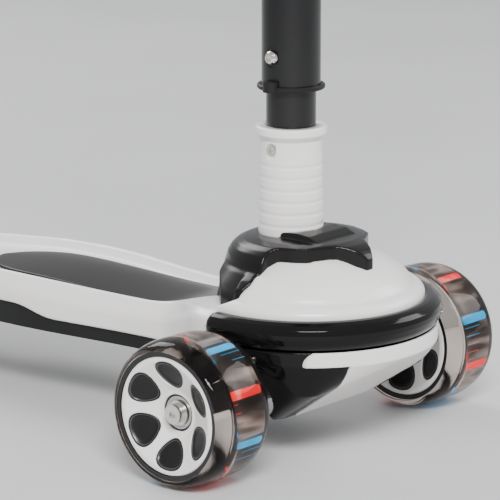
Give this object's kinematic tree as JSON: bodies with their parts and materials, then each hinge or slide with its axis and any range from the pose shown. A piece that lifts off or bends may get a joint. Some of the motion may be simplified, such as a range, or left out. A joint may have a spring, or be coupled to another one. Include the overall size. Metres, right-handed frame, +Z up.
{
  "type": "kick scooter",
  "caption": "Child's lean-to-steer kick scooter: two light-up front wheels on a sprung truck, waisted deck, domed head, height-adjustable handlebar and rear foot brake.",
  "frame": {"origin": "centre of the overall bounding box in X and Y, on the ground", "axes": "+X to the rider's left, +Y rearwards, +Z up; the scooter faces -Y"},
  "size_m": [0.299, 0.538, 0.6615],
  "materials": {
    "white_moulding": "smooth, slightly warm white",
    "black_gloss": "polished black",
    "black_satin": "satin black",
    "black_core": "satin black",
    "foot_pad": "satin black",
    "bright_bolt": "bright plated",
    "plain_steel": "zinc plated",
    "black_tube": "satin black, two soft highlights",
    "alloy_tube": "satin",
    "cast_alloy": "die cast, painted grey",
    "magnet_core": "sintered magnet ring and spacer",
    "elastomer": "matt",
    "clear_tyre": "smoky clear polyurethane",
    "light_bar": "red and cyan light bars"
  },
  "bodies": {
    "frame": {"deck_shell": "white_moulding", "deck_base": "black_satin", "deck_pad": "foot_pad", "deck_screws": "bright_bolt", "front_bumper": "black_gloss", "chin_trim": "white_moulding", "lower_housing": "black_gloss", "housing_screws": "bright_bolt", "saddle_cover": "black_gloss", "neck_sleeve": "white_moulding", "neck_screw": "bright_bolt", "lower_tube": "black_tube", "tube_bolt": "bright_bolt", "outer_tube": "black_tube", "end_ring": "black_satin", "guide_peg": "plain_steel", "clamp_collar": "black_satin", "clamp_bolt": "plain_steel", "chassis": "cast_alloy", "kingpin_bolt": "plain_steel", "kingpin_nut": "plain_steel", "steer_stops": "elastomer", "axle_rear": "plain_steel", "magnet_rear": "magnet_core", "brake_pin": "plain_steel", "brake_spring": "plain_steel"},
    "truck": {"truck_beam": "cast_alloy", "centring_bush": "elastomer", "axle_left": "bright_bolt", "axle_right": "bright_bolt", "magnet_left": "magnet_core", "magnet_right": "magnet_core"},
    "wheel_left": {"tyre_left": "clear_tyre", "rim_left": "black_core", "disc_outer_left": "white_moulding", "disc_inner_left": "white_moulding", "inserts_left": "black_core", "lights_left": "light_bar", "bearings_left": "plain_steel"},
    "wheel_right": {"tyre_right": "clear_tyre", "rim_right": "black_core", "disc_outer_right": "white_moulding", "disc_inner_right": "white_moulding", "inserts_right": "black_core", "lights_right": "light_bar", "bearings_right": "plain_steel"},
    "wheel_rear": {"tyre_rear": "clear_tyre", "rim_rear": "black_core", "lights_rear": "light_bar", "bearings_rear": "plain_steel"},
    "brake": {"brake_fender": "black_satin", "brake_shoe": "elastomer"},
    "bar": {"inner_tube": "alloy_tube", "bar_joint": "black_satin", "joint_bolt": "plain_steel", "crossbar": "alloy_tube", "grip_left": "elastomer", "grip_right": "elastomer"},
    "lever": {"clamp_lever": "black_satin"}
  },
  "joints": [
    {"name": "truck_steer", "type": "hinge", "parent": "frame", "child": "truck", "pos_m": [0, -0.175, 0.052], "axis": [0, -0.7071, 0.7071], "range_deg": [-7, 7], "stiffness_Nm_per_rad": 60},
    {"name": "wheel_left_spin", "type": "hinge", "parent": "truck", "child": "wheel_left", "pos_m": [0.124, -0.18, 0.05], "axis": [1, 0, 0], "continuous": true},
    {"name": "wheel_right_spin", "type": "hinge", "parent": "truck", "child": "wheel_right", "pos_m": [-0.124, -0.18, 0.05], "axis": [1, 0, 0], "continuous": true},
    {"name": "wheel_rear_spin", "type": "hinge", "parent": "frame", "child": "wheel_rear", "pos_m": [0, 0.22, 0.04], "axis": [1, 0, 0], "continuous": true},
    {"name": "brake_press", "type": "hinge", "parent": "frame", "child": "brake", "pos_m": [0, 0.1785, 0.08], "axis": [1, 0, 0], "range_deg": [-3.4, 0], "stiffness_Nm_per_rad": 1, "springref_deg": 5.73},
    {"name": "bar_height", "type": "slide", "parent": "frame", "child": "bar", "axis": [0, 0, 1], "range_m": [0, 0.15]},
    {"name": "clamp_open", "type": "hinge", "parent": "frame", "child": "lever", "pos_m": [0.0155, -0.13192, 0.529], "axis": [0, 0, 1], "range_deg": [0, 120]}
  ]
}
